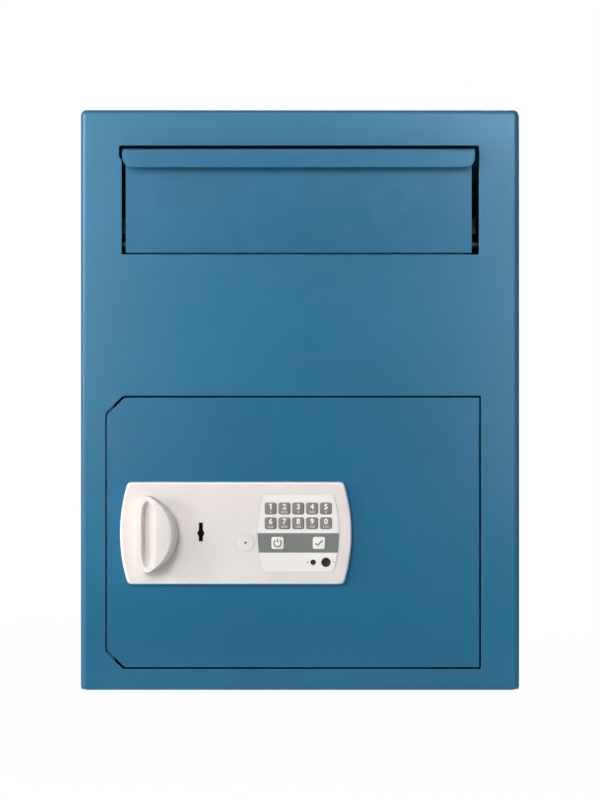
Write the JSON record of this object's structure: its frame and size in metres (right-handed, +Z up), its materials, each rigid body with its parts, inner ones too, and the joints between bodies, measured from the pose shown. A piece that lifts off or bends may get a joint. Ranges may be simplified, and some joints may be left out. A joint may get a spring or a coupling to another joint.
{
  "type": "hopper deposit safe",
  "caption": "Floor-standing deposit safe with a tilting hopper above an inset door that has a keypad, a turning handle, an emergency keyhole and a boltwork.",
  "frame": {"origin": "centre of the underside of the body, between its sides and between its front and back faces", "axes": "+Z up, the front faces -Y, +X to the right seen from the front"},
  "size_m": [0.4514, 0.4288, 0.597],
  "materials": {
    "body_paint": "fine textured powder coat, blue",
    "door_paint": "fine textured powder coat, blue",
    "zinc_plate": "bright zinc plate",
    "cover_paint": "fine textured powder coat, near black",
    "dark_steel": "blackened and oiled",
    "bright_steel": "ground and polished",
    "warm_plastic": "satin moulded plastic, warm light grey",
    "white_key": "satin moulded plastic, white",
    "grey_key": "matt moulded plastic, mid grey",
    "black_plastic": "satin black plastic",
    "buffer_rubber": "matt black rubber",
    "green_board": "green solder mask",
    "pack_wrap": "shrink sleeve, dark blue"
  },
  "bodies": {
    "cabinet": {"front_frame": "body_paint", "body_wrap": "body_paint", "base_plate": "body_paint", "back_plate": "body_paint", "tilt_pin_left": "dark_steel", "tilt_pin_right": "dark_steel", "tilt_bracket_left": "zinc_plate", "tilt_bracket_right": "zinc_plate", "rest_buffer_left": "buffer_rubber", "rest_buffer_right": "buffer_rubber", "hopper_hood": "body_paint", "anti_fishing_comb": "zinc_plate", "rest_bar": "body_paint", "hinge_plate_top": "dark_steel", "hinge_plate_bottom": "dark_steel", "door_stop": "body_paint"},
    "hopper": {"hopper_front": "body_paint", "hopper_bin": "body_paint", "tilt_bush_left": "black_plastic", "tilt_bush_right": "black_plastic"},
    "door": {"door_plate": "door_paint", "pivot_lug_top": "dark_steel", "pivot_lug_bottom": "dark_steel", "lock_plate": "warm_plastic", "keypad_panel": "warm_plastic", "contact_small": "black_plastic", "contact_large": "black_plastic", "circuit_board": "green_board", "round_cap": "warm_plastic", "bolt_guide": "zinc_plate", "guide_stud_1": "zinc_plate", "guide_stud_2": "zinc_plate", "solenoid": "black_plastic", "lock_case": "zinc_plate", "boltwork_cover": "cover_paint", "battery_pack": "pack_wrap", "battery_lid": "black_plastic"},
    "handle": {"turning_handle": "warm_plastic", "handle_spindle": "zinc_plate", "drive_cam": "zinc_plate"},
    "boltwork": {"locking_bolt_1": "bright_steel", "locking_bolt_2": "bright_steel", "locking_bolt_3": "bright_steel", "bolt_carrier": "zinc_plate"},
    "plunger": {"solenoid_plunger": "bright_steel"},
    "barrel": {"key_barrel": "dark_steel"},
    "release": {"release_slide": "bright_steel"},
    "button_1": {"key_1": "grey_key"},
    "button_2": {"key_2": "grey_key"},
    "button_3": {"key_3": "grey_key"},
    "button_4": {"key_4": "grey_key"},
    "button_5": {"key_5": "grey_key"},
    "button_6": {"key_6": "grey_key"},
    "button_7": {"key_7": "grey_key"},
    "button_8": {"key_8": "grey_key"},
    "button_9": {"key_9": "grey_key"},
    "button_0": {"key_0": "grey_key"},
    "button_power": {"key_power": "white_key"},
    "button_enter": {"key_enter": "white_key"}
  },
  "joints": [
    {"name": "hopper_tilt", "type": "hinge", "parent": "cabinet", "child": "hopper", "pos_m": [0, -0.187, 0.458], "axis": [1, 0, 0], "range_deg": [0, 50]},
    {"name": "door_swing", "type": "hinge", "parent": "cabinet", "child": "door", "pos_m": [0.1645, -0.19, 0.162], "axis": [0, 0, 1], "range_deg": [0, 105]},
    {"name": "handle_turn", "type": "hinge", "parent": "door", "child": "handle", "pos_m": [-0.1462, -0.2, 0.1605], "axis": [0, -1, 0], "range_deg": [0, 90]},
    {"name": "bolt_throw", "type": "slide", "parent": "door", "child": "boltwork", "axis": [-1, 0, 0], "range_m": [0, 0.016]},
    {"name": "plunger_lift", "type": "slide", "parent": "door", "child": "plunger", "axis": [0, 0, 1], "range_m": [0, 0.006]},
    {"name": "barrel_turn", "type": "hinge", "parent": "door", "child": "barrel", "pos_m": [-0.1019, -0.2, 0.1614], "axis": [0, -1, 0], "range_deg": [0, 90]},
    {"name": "release_push", "type": "slide", "parent": "door", "child": "release", "axis": [-1, 0, 0], "range_m": [0, 0.006]},
    {"name": "press_1", "type": "slide", "parent": "door", "child": "button_1", "axis": [0, 1, 0], "range_m": [0, 0.0008], "stiffness_N_per_m": 900, "springref_m": -0.0004},
    {"name": "press_2", "type": "slide", "parent": "door", "child": "button_2", "axis": [0, 1, 0], "range_m": [0, 0.0008], "stiffness_N_per_m": 900, "springref_m": -0.0004},
    {"name": "press_3", "type": "slide", "parent": "door", "child": "button_3", "axis": [0, 1, 0], "range_m": [0, 0.0008], "stiffness_N_per_m": 900, "springref_m": -0.0004},
    {"name": "press_4", "type": "slide", "parent": "door", "child": "button_4", "axis": [0, 1, 0], "range_m": [0, 0.0008], "stiffness_N_per_m": 900, "springref_m": -0.0004},
    {"name": "press_5", "type": "slide", "parent": "door", "child": "button_5", "axis": [0, 1, 0], "range_m": [0, 0.0008], "stiffness_N_per_m": 900, "springref_m": -0.0004},
    {"name": "press_6", "type": "slide", "parent": "door", "child": "button_6", "axis": [0, 1, 0], "range_m": [0, 0.0008], "stiffness_N_per_m": 900, "springref_m": -0.0004},
    {"name": "press_7", "type": "slide", "parent": "door", "child": "button_7", "axis": [0, 1, 0], "range_m": [0, 0.0008], "stiffness_N_per_m": 900, "springref_m": -0.0004},
    {"name": "press_8", "type": "slide", "parent": "door", "child": "button_8", "axis": [0, 1, 0], "range_m": [0, 0.0008], "stiffness_N_per_m": 900, "springref_m": -0.0004},
    {"name": "press_9", "type": "slide", "parent": "door", "child": "button_9", "axis": [0, 1, 0], "range_m": [0, 0.0008], "stiffness_N_per_m": 900, "springref_m": -0.0004},
    {"name": "press_0", "type": "slide", "parent": "door", "child": "button_0", "axis": [0, 1, 0], "range_m": [0, 0.0008], "stiffness_N_per_m": 900, "springref_m": -0.0004},
    {"name": "press_power", "type": "slide", "parent": "door", "child": "button_power", "axis": [0, 1, 0], "range_m": [0, 0.0008], "stiffness_N_per_m": 900, "springref_m": -0.0004},
    {"name": "press_enter", "type": "slide", "parent": "door", "child": "button_enter", "axis": [0, 1, 0], "range_m": [0, 0.0008], "stiffness_N_per_m": 900, "springref_m": -0.0004}
  ],
  "couplings": [
    {"joint": "bolt_throw", "follows": "handle_turn", "m_per_rad": 0.010186},
    {"joint": "release_push", "follows": "barrel_turn", "m_per_rad": 0.0038197}
  ]
}
